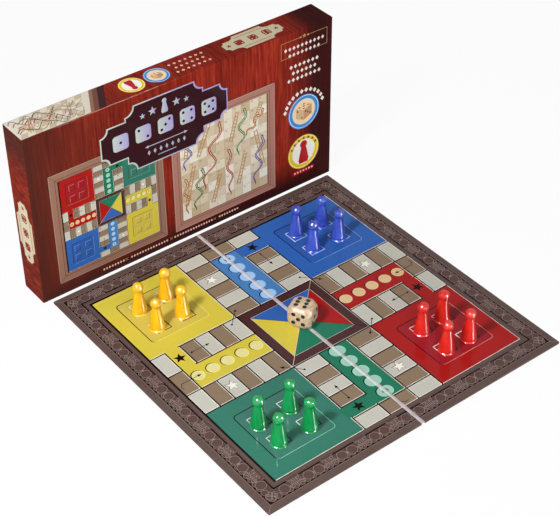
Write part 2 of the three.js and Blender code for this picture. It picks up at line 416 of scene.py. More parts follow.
woodLook = {
    "length": 0.47, "height": 0.25, "board": 0.0006,
    "strands": [(0.28, "501410"), (0.42, "80221a"), (0.55, "a23222"), (0.75, "cf6238")],
    "streaks": [(0.3, 0.3), (0.5, 0.47), (0.7, 0.62)],
    "clouds": [(0.35, 0.34), (0.5, 0.5), (0.65, 0.6)],
    # painted shade: how far the wood darkens towards the shadow tones by place and by wall, and the darker tone of
    # the end walls
    "side": [(0.0, 0.9), (0.07, 0.7), (0.2, 0.42), (0.45, 0.0), (0.85, 0.0), (0.93, 0.9)],
    "foot": [(0.03, 0.95), (0.1, 0.6), (0.2, 0.0)], "top": [(0.5, 0.0), (0.8, 0.14)],
    "end": [(0.05, 0.4), (0.25, 0.3), (0.5, 0.35), (0.68, 0.15), (0.8, 0.5), (0.92, 0.85)],
    "shadow": [(0.15, "43261f"), (0.5, "2c1416")], "endPaintedShade": "7c2415",
    "fibres": [(0.3, "b3ada1"), (0.7, "cfcabe")], "gloss": [(0.3, 0.24), (0.7, 0.38)],
}


def woodPrint():
    # printed mahogany: fine upright strands over broad streaks, with painted shade that makes it darker towards the
    # ends of the box
    material, tree, shader = filmMaterial("woodPrint", printLook["woodCoat"])
    strands = noise(tree, 1.0, 9, 0.8, stretch=(330, 14, 14))
    streaks = noise(tree, 1.0, 5, 0.62, stretch=(36, 5, 7), shift=(0.3, 0, 0))
    clouds = noise(tree, 1.0, 3, 0.5, stretch=(13, 7, 9), shift=(1.7, 0, 0.4))
    endStrands = noise(tree, 1.0, 7, 0.66, stretch=(1, 60, 190))
    normal = addNode(tree, "ShaderNodeSeparateXYZ", {
        "Vector": addNode(tree, "ShaderNodeNewGeometry").outputs["True Normal"]})
    onEnd = math2(tree, "GREATER_THAN", math2(tree, "ABSOLUTE", normal.outputs["X"]), 0.7)
    wood = ramp(tree, mixColour(tree, onEnd, strands, endStrands), woodLook["strands"])
    wood = overlay(tree, 0.75, wood, streaks, woodLook["streaks"])
    wood = overlay(tree, 0.6, wood, clouds, woodLook["clouds"])
    place = addNode(tree, "ShaderNodeSeparateXYZ", {"Vector": addNode(tree, "ShaderNodeTexCoord").outputs["Object"]})
    along = math2(tree, "ADD", math2(tree, "DIVIDE", place.outputs["X"], woodLook["length"]), 0.5)
    upward = math2(tree, "DIVIDE", place.outputs["Z"], woodLook["height"])
    # painted shade: darker towards both sides and the foot, a little on the top wall, and by height on the end walls
    shade = ramp(tree, along, woodLook["side"])
    shade = mixColour(tree, 1.0, shade, ramp(tree, upward, woodLook["foot"]), "LIGHTEN")
    shade = mixColour(tree, 1.0, shade, ramp(tree, normal.outputs["Z"], woodLook["top"]), "LIGHTEN")
    shade = mixColour(tree, onEnd, shade, ramp(tree, upward, woodLook["end"]))
    # the end walls take a darker tone, painted shade
    wood = mixColour(tree, math2(tree, "MULTIPLY", onEnd, 0.35), wood, woodLook["endPaintedShade"])
    shaded = mixColour(tree, shade, wood, ramp(tree, along, woodLook["shadow"]))
    # depth below the outer walls: beyond half the carton's thickness the bare carton shows
    low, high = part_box("box_lid")
    sideDepth = math2(tree, "SUBTRACT", high.x, math2(tree, "ABSOLUTE", place.outputs["X"]))
    frontDepth = math2(tree, "SUBTRACT", place.outputs["Y"], low.y)
    topDepth = math2(tree, "SUBTRACT", high.z, place.outputs["Z"])
    depth = math2(tree, "MINIMUM", math2(tree, "MINIMUM", sideDepth, frontDepth),
                  math2(tree, "MINIMUM", topDepth, place.outputs["Z"]))
    bare = math2(tree, "GREATER_THAN", depth, woodLook["board"])
    fibres = ramp(tree, noise(tree, 300, 5), woodLook["fibres"])
    gloss = ramp(tree, noise(tree, 40, 4), woodLook["gloss"])
    wire(tree, shader, Base_Color=mixColour(tree, bare, shaded, fibres),
         Roughness=math2(tree, "MAXIMUM", gloss, math2(tree, "MULTIPLY", bare, 0.9)))
    filmBumps(tree, shader, 1200, 14, 0.012)
    return material


def rawBoard(name, dark, light, scale):
    # uncoated board: pressed fibres in two sizes
    material, tree, shader = newMaterial(name, Roughness=0.9)
    fibres = noise(tree, scale, 5, 0.65, stretch=(1, 2.2, 1))
    base = ramp(tree, fibres, [(0.3, dark), (0.7, light)])
    wire(tree, shader, Base_Color=overlay(tree, 0.35, base, noise(tree, scale * 4, 2), [(0.3, 0.42), (0.65, 0.56)]))
    addBump(tree, shader, fibres, 0.25, 0.0004)
    return material


def clothTape():
    # woven tape: two crossed wave patterns
    material, tree, shader = newMaterial("clothTape", Roughness=0.85, Sheen_Weight=0.3)
    across, along = (addNode(tree, "ShaderNodeTexWave", {"Vector": objectPlace(tree), "Scale": 500.0},
                             bands_direction=axis).outputs["Fac"] for axis in "XY")
    weave = math2(tree, "MULTIPLY", across, along)
    wire(tree, shader, Base_Color=ramp(tree, weave, [(0.1, "2b2120"), (0.8, "584644")]))
    addBump(tree, shader, weave, 0.5, 0.0002)
    return material


def pawnPlastic(name, deep, bright):
    # moulded plastic that lets a little light in, with faint flow marks and handling scuffs
    material, tree, shader = newMaterial(
        name, IOR=1.5, Specular_IOR_Level=0.35, Subsurface_Weight=0.2,
        Subsurface_Radius=(1.0, 1.0, 1.0), Subsurface_Scale=0.003)
    flow = noise(tree, 60, 3, stretch=(1, 1, 0.5))
    scuffs = noise(tree, 260, 5, 0.7, stretch=(1, 1, 3))
    wire(tree, shader, Base_Color=ramp(tree, flow, [(0.3, deep), (0.7, bright)]),
         Roughness=ramp(tree, scuffs, [(0.4, 0.04), (0.8, 0.11)]))
    addBump(tree, shader, noise(tree, 500, 2), 0.015, 0.0003)
    return material


dieLook = {
    "turn": -60.7, "grain": (9, 90, 90), "bands": (3, 22, 22), "pores": (30, 420, 420),
    "tones": [(0.28, "a9876a"), (0.48, "ccb090"), (0.75, "e2cdaf")],
}


def dieWood():
    # pale wood: strands along the die's own side to side, with darker pores
    material, tree, shader = newMaterial("dieWood", Specular_IOR_Level=0.25)
    turn = (0, 0, math.radians(-dieLook["turn"]))
    strands = noise(tree, 6.0, 6, 0.6, stretch=dieLook["grain"], turn=turn)
    bands = noise(tree, 6.0, 3, stretch=dieLook["bands"], turn=turn)
    pores = noise(tree, 4.0, 2, stretch=dieLook["pores"], turn=turn)
    wood = overlay(tree, 0.5, ramp(tree, strands, dieLook["tones"]), bands, [(0.3, 0.4), (0.7, 0.6)])
    wood = overlay(tree, 0.4, wood, pores, [(0.3, 0.3), (0.42, 0.5)])
    wire(tree, shader, Base_Color=wood, Roughness=ramp(tree, strands, [(0.3, 0.55), (0.7, 0.38)]))
    addBump(tree, shader, strands, 0.06, 0.0005)
    return material


def pipPaint():
    # thick dark paint in the drilled hollows, a little lighter in random patches
    material, tree, shader = newMaterial("pipPaint", Roughness=0.6, Specular_IOR_Level=0.15)
    patches = noise(tree, 700, 3)
    wire(tree, shader, Base_Color=ramp(tree, patches, [(0.4, "050303"), (0.8, "1a110c")]))
    addBump(tree, shader, patches, 0.3, 0.0003)
    return material


plastics = {
    "yellow": pawnPlastic("yellowPlastic", "f3b312", "fcc524"),
    "blue": pawnPlastic("bluePlastic", "3046ae", "4660ca"),
    "red": pawnPlastic("redPlastic", "d01d17", "e6352a"),
    "green": pawnPlastic("greenPlastic", "0f9149", "1da35a"),
}
print("stage: materials made")


# The ludo print

ludo = {
    "side": 450, "fold": 5, "border": 33.75, "armHalf": 58, "laneHalf": 19.6, "frameInner": 44.3,
    "discRadius": 8.4, "starRadius": 8.8, "edgeLine": 1.9, "litLine": 0.75, "ink": "0a0605",
    "yardPanel": 87, "panelRound": 5.6, "panelThin": 0.6, "panelThick": 1.25,
    "standSide": 22, "standNear": 37, "standFar": 43.5, "standLine": 0.9,
    "discs": ((0.8, 0.4, "Dark", 6), (0.0, 0.0, "Rim", 7), (0.2, -1.2, "Disc", 8)),
    "arrowTail": 1.5, "rowArrow": (2.3, 3.4), "cornerArrow": ((70, 49.4), (50.5, 68.9)),
    "turnIn": 5, "turnFrom": -9.4, "turnRound": 3, "turnTo": 1.58,
}
tint = {
    "border": "64504b", "borderGround": "574240", "borderLight": "958178", "borderDark": "230f10",
    "light": "c6c4b9", "tan": "8c7761", "frame": "4c2e2e", "lineDark": "060302", "lineLight": "f6f1e4",
    "yellow": "d6c446", "blue": "3264b4", "red": "a81c1b", "green": "23785c", "greenYard": "377a68",
    "blueLane": "4a80bf", "redLine": "e59a88", "blueStand": "94bbe6",
    "yellowPanel": "cdbb50", "bluePanel": "2f5cab", "redPanel": "9a1f28", "greenPanel": "40776a",
    "yellowDisc": "e3d99a", "blueDisc": "a9cdee", "redDisc": "dfc190", "greenDisc": "a3cdbd",
    "yellowRim": "eee47c", "blueRim": "8fc0f2", "redRim": "f2c79a", "greenRim": "8fdcbc",
    "yellowDark": "2c2706", "blueDark": "0a1530", "redDark": "2c0608", "greenDark": "041d15",
}


def raisedRect(sheet, box, colour, pale=False):
    # nested outlines: dark on the left and back, light on the right and front, and all round if pale
    line, lit = ludo["edgeLine"], ludo["litLine"]
    inset = line + (lit * 0.6 if pale else 0)
    sheet.nest(box, (0, "lineDark", 2), ((line, 0, 0, line), "lineLight", 3), ((inset, lit, lit, inset), colour, 4))


def arrow(sheet, path, colour, level, width=0.8, head=2.7, tail=0.0):
    # a thin line with a pointed head, and a dot at its tail if it has one
    path = np.asarray(path, float)
    sheet.add(ribbon(path, width), colour, level)
    along = path[-1] - path[-2]
    along /= np.linalg.norm(along)
    tip = path[-1] + along * head
    barbs = path[-1] - along * head + np.outer((0.8, -0.8), sideways(along)) * head
    sheet.add([np.concatenate([tip[None], barbs])], colour, level + 0.5)
    if tail:
        sheet.add(discs(path[0], tail, 16), colour, level + 0.5)


def armPlay(sheet, outward, reach, reachNext, colour, soft):
    # one arm of the cross with its yard: a runs outwards from the middle and t to its clockwise side
    lane, arm, line = ludo["laneHalf"], ludo["armHalf"], ludo["edgeLine"]
    cell = (reach - arm) / 6
    start = reach - cell
    outward = np.array(outward, float)
    clockwise = -sideways(outward)

    def at(a, t):
        return a * outward + t * clockwise

    def boxOf(a0, t0, a1, t1):
        corners = np.array([at(a0, t0), at(a1, t1)])
        return np.concatenate([corners.min(0), corners.max(0)])

    def own(part):
        # the arm's own tone for a part where it has one, or else its plain colour
        return tint.get(colour + part, tint[colour])

    # the yard's ground, the two outer rows of squares and the lane between them
    raisedRect(sheet, boxOf(arm, arm, reach, reachNext), own("Yard"))
    for i in range(6):
        near, far = reach - (i + 1) * cell, reach - i * cell
        first = colour if i == 1 else "light" if i % 2 or i == 0 else "tan"
        second = "tan" if i % 2 else "light"
        raisedRect(sheet, boxOf(near, lane, far, arm), first, first == "light")
        raisedRect(sheet, boxOf(near, -arm, far, -lane), second, second == "light")
    raisedRect(sheet, boxOf(start, -lane, reach, lane), "tan")
    raisedRect(sheet, boxOf(arm, -lane, start, lane), own("Lane"))
    sheet.nest(boxOf(start - cell + line, lane - 2 * line, start - line, arm + 2 * line), (0, colour, 5))

    centres = np.array([at(a, 0) for a in start - (np.arange(5) + 0.5) * cell])
    for shift, grow, part, level in ludo["discs"]:
        sheet.add(discs(centres + (-shift, shift), ludo["discRadius"] + grow), colour + part, level)

    heading = math.atan2(-outward[1], -outward[0])
    row = (lane + arm) / 2
    safe = at(reach - 2.5 * cell, -row)
    for place, grow, tone, level in ((at(start - cell / 2, row), 0, "0c0708", 6),
                                     (safe + (-0.5, 0.5), 1.2, "8b8579", 6), (safe, -0.6, "f4f1e8", 7)):
        sheet.add(stars(place, ludo["starRadius"] + grow, heading), tone, level)

    # three arrows: along the outer row, across the inner corner, and round the end into the lane
    ink, tail, curve, end = ludo["ink"], ludo["arrowTail"], ludo["turnRound"], reach - ludo["turnIn"]
    arrow(sheet, [at(reach - cells * cell, row) for cells in ludo["rowArrow"]], ink, 6, tail=tail)
    arrow(sheet, [at(*place) for place in ludo["cornerArrow"]], ink, 8, tail=tail)
    bend = [at(end - curve * math.sin(b) * 0.9, -curve + curve * (1 - math.cos(b)))
            for b in np.linspace(0, math.pi / 2, 8)]
    arrow(sheet, [at(end, ludo["turnFrom"])] + bend + [at(reach - ludo["turnTo"] * cell, 0)], ink, 9)

    # the yard's inset panel and its four stand squares, wide apart across or along the board
    yard = at((arm + reach) / 2, (arm + reachNext) / 2)
    half, curve, thin, thick = ludo["yardPanel"] / 2, ludo["panelRound"], ludo["panelThin"], ludo["panelThick"]
    dark, pale, panel = tint[colour + "Dark"], tint.get(colour + "Line", tint[colour + "Rim"]), colour + "Panel"
    sheet.nest(np.concatenate([yard - half, yard + half]), (0, dark, 6, curve),
               ((thick, 0, 0, thick), pale, 7, curve - 0.5), ((thick, thin, thin, thick), panel, 8, curve - 0.9))
    near, far, line, half = (ludo["stand" + part] for part in ("Near", "Far", "Line", "Side"))
    stands = yard + np.array((far, near) if outward[1] else (near, far)) / 2 * fourCorners
    bright, deep = (pale, dark) if soft else ("e9f2ea", tint.get(colour + "Stand", "0e1916"))
    sheet.nest(np.concatenate([stands - half / 2, stands + half / 2], 1), (0, bright, 9),
               ((line, 0, 0, line), deep, 10), ((line, thick, thick, line), panel, 11))


def centreFrame(sheet, colours):
    # brown frame round four triangles that meet in the middle, with one bright and one dark diagonal
    arm, inner, line = ludo["armHalf"], ludo["frameInner"], ludo["edgeLine"]
    sheet.nest((-arm, -arm, arm, arm), (0, "lineDark", 2), ((line, 0, 0, line), "d2c2bb", 3),
               ((line, 0.7, 0.7, line), "2a1413", 3.5), ((line, 1.4, 1.4, line), "frame", 4))
    for sign in (-1, 1):
        sheet.line((-arm * 0.99, arm * 0.99 * sign), (arm * 0.99, -arm * 0.99 * sign), 0.6, "2a1212", 5)
    sheet.nest((-inner, -inner, inner, inner), (-1.5, "241110", 5.5), (-0.7, "c9b8ac", 6))
    corners = inner * np.array([(-1, -1), (1, -1), (1, 1), (-1, 1)])
    for colour, first in zip(colours, (3, 2, 1, 0)):
        sheet.add([[corners[first], corners[(first + 1) % 4], (0, 0)]], colour, 7)
    sheet.line((-inner, inner), (inner, -inner), 0.9, "28452f", 8)
    sheet.line((-arm + 0.8, -arm - 0.1), (arm + 0.1, arm - 0.8), 0.9, "3a2a28", 8.5)
    sheet.line((-arm, -arm), (arm, arm), 0.8, "cdbdb6", 9)


def playField(reachX, reachY, colours, soft=False):
    # the four arms and the middle, colours given for the left, back, right and front arms
    sheet = InkSheet(tint)
    for outward, colour in zip(((-1, 0), (0, 1), (1, 0), (0, -1)), colours):
        reaches = (reachX, reachY) if outward[0] else (reachY, reachX)
        armPlay(sheet, outward, *reaches, colour, soft)
    centreFrame(sheet, colours)
    return sheet


# a curl is given by its sense, offset, depth, radius, shrinking and half turns, and a dash by its half length
# and half width, and how far it reaches out and back where it ends at a corner
ornament = {
    "pitch": 48.5, "ringGap": 14.7, "ringDepth": 18.3, "scallopDepth": 14.7, "line": 0.7,
    "scallops": ((4.35, "borderLight", 3.4), (3.85, "borderGround", 4)),
    "rings": ((6.6, "borderLight", 5), (5.95, "4a3633", 6), (5.4, "5d4541", 7)),
    "bars": (-2.3, 0.0, 2.3), "barEnds": (12.4, 25.5),
    "curls": ((1, 7.4, 16.4, 3.8, 2.4, 2.6), (-1, 5.4, 23.4, 2.4, 1.2, 1.9)),
    "dashDepth": 26.1,
    "dashes": ((16.8, 1.5, 1.4, 19.0, "borderLight", 5), (16.2, 1.3, 1.0, 18.4, "borderDark", 9)),
}


def borderRun(sheet, outward, edge, halfLength):
    # one side of the border: a point is u along the side and d in from the edge
    outward = np.array(outward, float)
    pitch, gap, depth, dashAt = (ornament[k] for k in ("pitch", "ringGap", "ringDepth", "dashDepth"))

    def put(outlines, colour, level):
        sheet.add([o[:, :1] * sideways(outward) + (edge - o[:, 1:]) * outward for o in outlines], colour, level)

    scallops = (np.arange(-26, 26) + 0.5) * pitch / 6
    scallops = scallops[np.abs(scallops) < halfLength - 14]
    for radius, colour, level in ornament["scallops"]:
        put(discs(rowAt(scallops, ornament["scallopDepth"]), radius, 18), colour, level)
    pairs = np.arange(-3, 4) * pitch
    rings = np.concatenate([pairs - gap / 2, pairs + gap / 2, [-4 * pitch + gap / 2, 4 * pitch - gap / 2]])
    for radius, colour, level in ornament["rings"]:
        put(discs(rowAt(rings, depth), radius, 28), colour, level)
    put(stars(rowAt(pairs, depth), 2.6, waist=0.35), "borderLight", 8)

    middles = (np.arange(-4, 4) + 0.5) * pitch
    for shift in ornament["bars"]:
        put(bars(middles + shift, ornament["line"] / 2, *ornament["barEnds"]), "borderLight", 6)
    turn = np.linspace(0, 1, 26)
    for middle in middles:
        for side in (-1, 1):
            for sense, offset, height, radius, shrink, turns in ornament["curls"]:
                angle = sense * (math.pi / 2 + side * turn * turns * math.pi)
                curl = polar(radius - shrink * turn, angle) + (middle + side * offset, height)
                put(ribbon(curl, ornament["line"]), "borderLight", 9)
    for length, width, out, back, colour, level in ornament["dashes"]:
        put(bars(pairs, length, dashAt - width, dashAt + width), colour, level)
    for sign in (-1, 1):
        end = sign * (halfLength - dashAt)
        for length, width, out, back, colour, level in ornament["dashes"]:
            first, last = sorted((end + sign * out, end - sign * back))
            put(rects((first, dashAt - width, last, dashAt + width)), colour, level)
        for quarter in range(4):
            angle = math.pi / 4 + quarter * math.pi / 2 + turn * 2.4 * math.pi
            middle = (sign * (halfLength - depth), depth) + polar(4.2, quarter * math.pi / 2)
            curl = middle + polar(4.3 - 2.9 * turn, angle)
            put(ribbon(curl, ornament["line"]), "borderLight", 9 + quarter * 0.3)


def ludoSheet(halfX, halfY, colours):
    # the whole print about its own middle
    sheet = InkSheet(tint)
    whole, border = (-halfX, -halfY, halfX, halfY), ludo["border"]
    sheet.nest(whole, (8.5, "borderLight", 1), (9.0, "borderDark", 2), (13.4, "borderGround", 3))
    for outward in ((0, -1), (0, 1), (-1, 0), (1, 0)):
        borderRun(sheet, outward, *((halfX, halfY) if outward[0] else (halfY, halfX)))
    sheet.nest(whole, (29.0, "border", 5), (32.8, "borderDark", 6))
    for corner in fourCorners:
        outer = corner * (halfX, halfY)
        sheet.line(outer * 0.998, outer - corner * 8.6, 0.5, "borderLight", 1.5)
    sheet.take(playField(halfX - border, halfY - border, colours), lift=6)
    return sheet


lowLeft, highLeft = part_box("ludo_print_left")
lowRight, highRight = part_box("ludo_print_right")
boardMiddle = ((lowLeft.x + highRight.x) / 2, (lowLeft.y + highLeft.y) / 2)
boardTop = highLeft.z
halfFold = ludo["fold"] / 2
tablePrint = ludoSheet(ludo["side"] / 2 - halfFold, ludo["side"] / 2, ("yellow", "blue", "red", "green"))
for name, sign in (("left", -1), ("right", 1)):
    half = tablePrint.half(sign, halfFold)
    half.build("ludoInk_" + name, (*boardMiddle, boardTop), (1, 0, 0), (0, 1, 0), "board_" + name, "ludo_print")
    dressNode("ludo_print_" + name, borderPrint)
print("stage: ludo print,", len(tablePrint.inks), "inks")


# Motifs of the box print, made for it: plaques, dice, pawns, snakes and ladders

pipLayouts = {
    1: [(0, 0)], 2: [(-1, 1), (1, -1)], 3: [(-1, -1), (0, 0), (1, 1)],
    4: [(-1, -1), (-1, 1), (1, -1), (1, 1)], 5: [(-1, -1), (-1, 1), (0, 0), (1, -1), (1, 1)],
    6: [(-1, -1), (-1, 0), (-1, 1), (1, -1), (1, 0), (1, 1)],
}


def notched(x, y, width, height, radius, steps=7):
    # a rectangle whose corners are scooped out by quarter circles
    turn = np.linspace(0, math.pi / 2, steps)
    arcs = []
    for k, (sx, sy) in enumerate(((1, 1), (-1, 1), (-1, -1), (1, -1))):
        corner = np.array((x + sx * width / 2, y + sy * height / 2))
        arcs.append(corner + polar(radius, math.pi * (1.5 + k / 2) - turn))
    return np.concatenate(arcs)[None]


def pawnShape(x, y, height, turned=False):
    # a pawn in side view, drawn 45 high: ball head, flared body, small foot
    head = polar(7.4, np.linspace(-math.pi / 2 + 0.78, math.pi / 2, 9)) + (0, 37.6)
    right = np.concatenate([[(8.8, 0), (10.8, 6.5), (10.2, 9.8)], head])
    outline = np.concatenate([right, (right * (-1, 1))[::-1]]) * (height / 45)
    return (outline * (-1 if turned else 1) + (x, y))[None]


def dieFace(sheet, x, y, side, value, face, pip, level):
    # one face of a die seen flat: a rounded square with its pips
    half = side / 2
    sheet.nest((x - half, y - half, x + half, y + half), (0, face, level, side * 0.2))
    sheet.add(discs(np.array(pipLayouts[value], float) * side * 0.27 + (x, y), side * 0.09, 16), pip, level + 1)


def dieSolid(sheet, x, y, size, level):
    # three sides of a cube seen from a corner, with pips squeezed along each side's two edges
    right, left, high = np.array((0.87, 0.42)), np.array((-0.87, 0.42)), np.array((0, -1.0))
    middle = np.array((x, y))
    ring = polar(0.085, np.arange(16) * math.pi / 8)
    for a, b, tone, value in ((right, left, "efcfa4", 5), (right, high, "c99b6c", 3), (left, high, "dcb486", 2)):
        sheet.add([middle + size * np.array([(0, 0), a, a + b, b]) * 0.98], tone, level)
        spots = stamp(np.array(pipLayouts[value]) * 0.27 + 0.5, ring)
        sheet.add(middle + size * (spots[..., :1] * a + spots[..., 1:] * b), "3b2218", level + 1)


def badge(sheet, x, y, radius, ring, ground, level):
    # discs on top of each other: a coloured ring with a pale line in it, round a pale ground
    for step, (share, colour) in enumerate(((1, ring), (0.95, "f4f4f0"), (0.92, ring), (0.74, ground))):
        sheet.add(discs((x, y), radius * share, 48), colour, level + step)


def lozenges(sheet, centres, width, height, colour, level):
    # four points round each centre, half the width and half the height away
    shape = np.array([(width / 2, 0), (0, height / 2), (-width / 2, 0), (0, -height / 2)])
    sheet.add(stamp(centres, shape), colour, level)


def lozengeRow(sheet, x, y, count, pitch, width, height, colour, level):
    # lozenges one pitch apart, half of them on each side of x
    steps = (np.arange(count) - (count - 1) / 2) * pitch
    lozenges(sheet, rowAt(x + steps, y), width, height, colour, level)


def arcOf(x, y, radius, first, last, count):
    # points on part of a circle, its ends in degrees
    return polar(radius, np.linspace(math.radians(first), math.radians(last), count)) + (x, y)


strokes = {
    "0": [(1, 0), (3, 0), (4, 1), (4, 5), (3, 6), (1, 6), (0, 5), (0, 1), (1, 0)],
    "1": [(0.8, 4.8), (2, 6), (2, 0)],
    "2": [(0, 5), (1, 6), (3, 6), (4, 5), (4, 4), (0, 0.2), (4, 0.2)],
    "3": [(0, 5), (1, 6), (3, 6), (4, 5), (4, 4), (3, 3.1), (1.5, 3.1),
          (3, 3), (4, 2), (4, 1), (3, 0), (1, 0), (0, 1)],
    "4": [(3, 0), (3, 6), (0, 1.8), (4, 1.8)],
    "5": [(4, 6), (0.4, 6), (0.2, 3.4), (3, 3.6), (4, 2.6), (4, 1), (3, 0), (1, 0), (0, 1)],
    "6": [(3.6, 6), (1.4, 5), (0, 3), (0, 1), (1, 0), (3, 0), (4, 1), (4, 2.4), (3, 3.4), (1, 3.2), (0, 2)],
    "7": [(0, 6), (4, 6), (1.6, 0)],
    "8": [(2, 3.1), (3.6, 4), (3.6, 5.2), (2, 6), (0.4, 5.2), (0.4, 4), (2, 3.1),
          (4, 2), (4, 1), (2, 0), (0, 1), (0, 2), (2, 3.1)],
    "9": [(0.4, 0), (2.6, 1), (4, 3), (4, 5), (3, 6), (1, 6), (0, 5), (0, 3.6), (1, 2.6), (3, 2.8), (4, 4)],
}


digits = {"tall": 6, "pitch": 5.4, "gap": 1.4, "line": 0.13}


def numeral(sheet, text, x, y, height, colour, level):
    # plain digits as ribbons along strokes, in steps of a sixth of their height
    scale, pitch = height / digits["tall"], digits["pitch"]
    start = x - (len(text) * pitch - digits["gap"]) * scale / 2
    for index, digit in enumerate(text):
        path = np.array(strokes[digit]) * scale + (start + index * pitch * scale, y - height / 2)
        for step, ends in enumerate(zip(path[:-1], path[1:])):
            sheet.line(*ends, height * digits["line"], colour, level + step % 3 * 0.3)


climb = {
    "tones": ("efe8d8", "d9c8aa", "e6dac2", "cbb592", "dfd0b4", "e9dfca", "d2bf9f"),
    "ink": "8a735c", "dark": "33231c", "belly": "f0e2b8", "eye": "f6f0dc",
    "steps": 44, "swings": 4.2, "tailWidth": 0.015, "neckWidth": 0.245, "outline": 0.04, "bellyShare": (0.36, 0.16),
    "rails": ((0.08, "8a5f38", 3), (0.045, "cf9e66", 5)),
    "ladders": [((-4.5, -3.5), (-3.5, 0.6)), ((-1.5, -4.4), (-0.6, -1.5)), ((-3.0, 1.3), (-1.6, 4.5)),
                ((1.5, -3.6), (2.4, -0.4)), ((4.5, -2.5), (3.6, 1.6)), ((0.7, 1.4), (1.6, 4.4)),
                ((-4.4, 1.6), (-4.0, 4.4)), ((3.5, 2.4), (4.4, 4.4))],
    "snakes": [((-0.5, 4.0), (-2.4, -2.6), "b3122f", 0.6), ((-3.6, 4.4), (-4.5, 0.4), "3566b8", 0.42),
               ((-2.6, -0.2), (-3.5, -4.4), "1f7a45", 0.44), ((4.5, 3.5), (2.5, 1.4), "d0761c", 0.34),
               ((2.4, 4.3), (1.6, -0.4), "2c8c58", 0.44), ((4.4, 0.6), (3.5, -4.5), "4b45b0", 0.46),
               ((0.5, 0.6), (0.6, -4.4), "b8322e", 0.3), ((-4.5, -0.6), (-4.4, -4.4), "c46a24", 0.26)],
}


def ladder(sheet, foot, top, cellX, cellY):
    # nine rungs between two rails, all in a wide dark stroke under a narrow light one
    along = (top - foot) / np.linalg.norm(top - foot)
    side = sideways(along) * cellX * 0.17
    rungs = np.linspace(foot + along * cellY * 0.15, top - along * cellY * 0.15, 9)
    for width, tone, level in climb["rails"]:
        for rung in rungs:
            sheet.line(rung - side, rung + side, width * cellX, tone, level + 1)
        for rail in (-side, side):
            sheet.line(foot + rail, top + rail, width * cellX * 1.2, tone, level + 2)


def snake(sheet, head, tail, tone, sway, cellX):
    # a line from head to tail that swings to both sides, thinner towards the tail
    t = np.linspace(0, 1, climb["steps"])
    along = tail - head
    side = sideways(along) / np.linalg.norm(along)
    swing = sway * cellX * np.sin(t * math.pi * climb["swings"]) * np.sin(t * math.pi) ** 0.5
    path = head + t[:, None] * along + swing[:, None] * side
    width = cellX * (climb["tailWidth"] + climb["neckWidth"] * (1 - t) ** 0.5)
    belly = width[:-7] * np.linspace(*climb["bellyShare"], len(path) - 7)
    sheet.add(ribbon(path, width + cellX * climb["outline"]), "dark", 8)
    sheet.add(ribbon(path, width), tone, 9)
    sheet.add(ribbon(path[:-7], belly), "belly", 10)
    eyes = path[0] + np.outer((-1, 1), side) * cellX * 0.07
    for centres, radius, steps, colour, level in ((path[3:-8:3], 0.03, 8, "dark", 11), (path[0], 0.17, 20, "dark", 9),
                                                  (path[0], 0.14, 20, tone, 10), (eyes, 0.04, 10, "eye", 11)):
        sheet.add(discs(centres, cellX * radius, steps), colour, level)


def snakesSheet(cellX, cellY):
    # a hundred numbered cells in rows that turn back, with ladders and snakes that each stay in one half
    sheet = InkSheet(climb)
    size = np.array((cellX, cellY))
    column, row = (m.ravel() for m in np.meshgrid(np.arange(10), np.arange(10)))
    low = (np.stack([column, row], -1) - 5) * size
    sheet.add(rects((-5 * cellX, -5 * cellY, 5 * cellX, 5 * cellY)), "ink", 1)
    for kind, tone in enumerate(climb["tones"]):
        chosen = (column * 3 + row * 5 + column * row // 3) % 7 == kind
        sheet.add(rects(np.concatenate([low[chosen] + 0.008 * size, low[chosen] + 0.992 * size], 1)), tone, 2)
    order = row * 10 + np.where(row % 2, 9 - column, column) + 1
    for place, number in zip(low, order):
        numeral(sheet, str(number), *(place + size * (0.26, 0.8)), cellY * 0.17, "ink", 3)
    for foot, top in climb["ladders"]:
        ladder(sheet, np.array(foot) * size, np.array(top) * size, cellX, cellY)
    for head, tail, tone, sway in climb["snakes"]:
        snake(sheet, np.array(head) * size, np.array(tail) * size, tone, sway, cellX)
    return sheet


boxArt = {
    # frameLit: the frame's tones made lighter, painted light
    "frame": ("96705f", "724d41", "ae8878"), "frameLit": ("b07d6e", "885b4f", "c69888"),
    "silver": ("c6d2c8", "aa9fd8"), "silverLine": "c4bfd4", "plaque": "371a1f", "beige": "cfc3a3",
    "beigeInk": "8e2f2a", "gold": "c39a64", "white": "efe6da", "medal": "f2d9b6", "medalPale": "f6f2e8",
    "blue": "2f8fd6", "yellow": "eccb12", "red": "b81c22", "peach": "f0c8b0", "peachDark": "6a3a12",
}


def pictureFrame(sheet, x0, y0, x1, y1, width, dark, deep, pale):
    # mitred mouldings: three steps, each a little lighter or darker
    box, inner = (x0, y0, x1, y1), width * 0.62
    sheet.nest(box, (-0.8, "3c231f", 1), (0, pale, 2), (1.2, dark, 3), (inner, deep, 4), (inner + 1, dark, 5))
    for x, y, sx, sy in ((x0, y0, 1, 1), (x1, y0, -1, 1), (x0, y1, 1, -1), (x1, y1, -1, -1)):
        sheet.line((x, y), (x + sx * width, y + sy * width), 0.7, deep, 6)
    sheet.nest(box, (width - 1, "2f1b18", 6))


plaque = {"wide": (193, 54), "wideScoop": 11, "tall": (118, 95), "tallScoop": 13, "rim": 3.4, "rise": 2,
          "dice": 5, "dieSide": 23, "diePitch": 33.5}


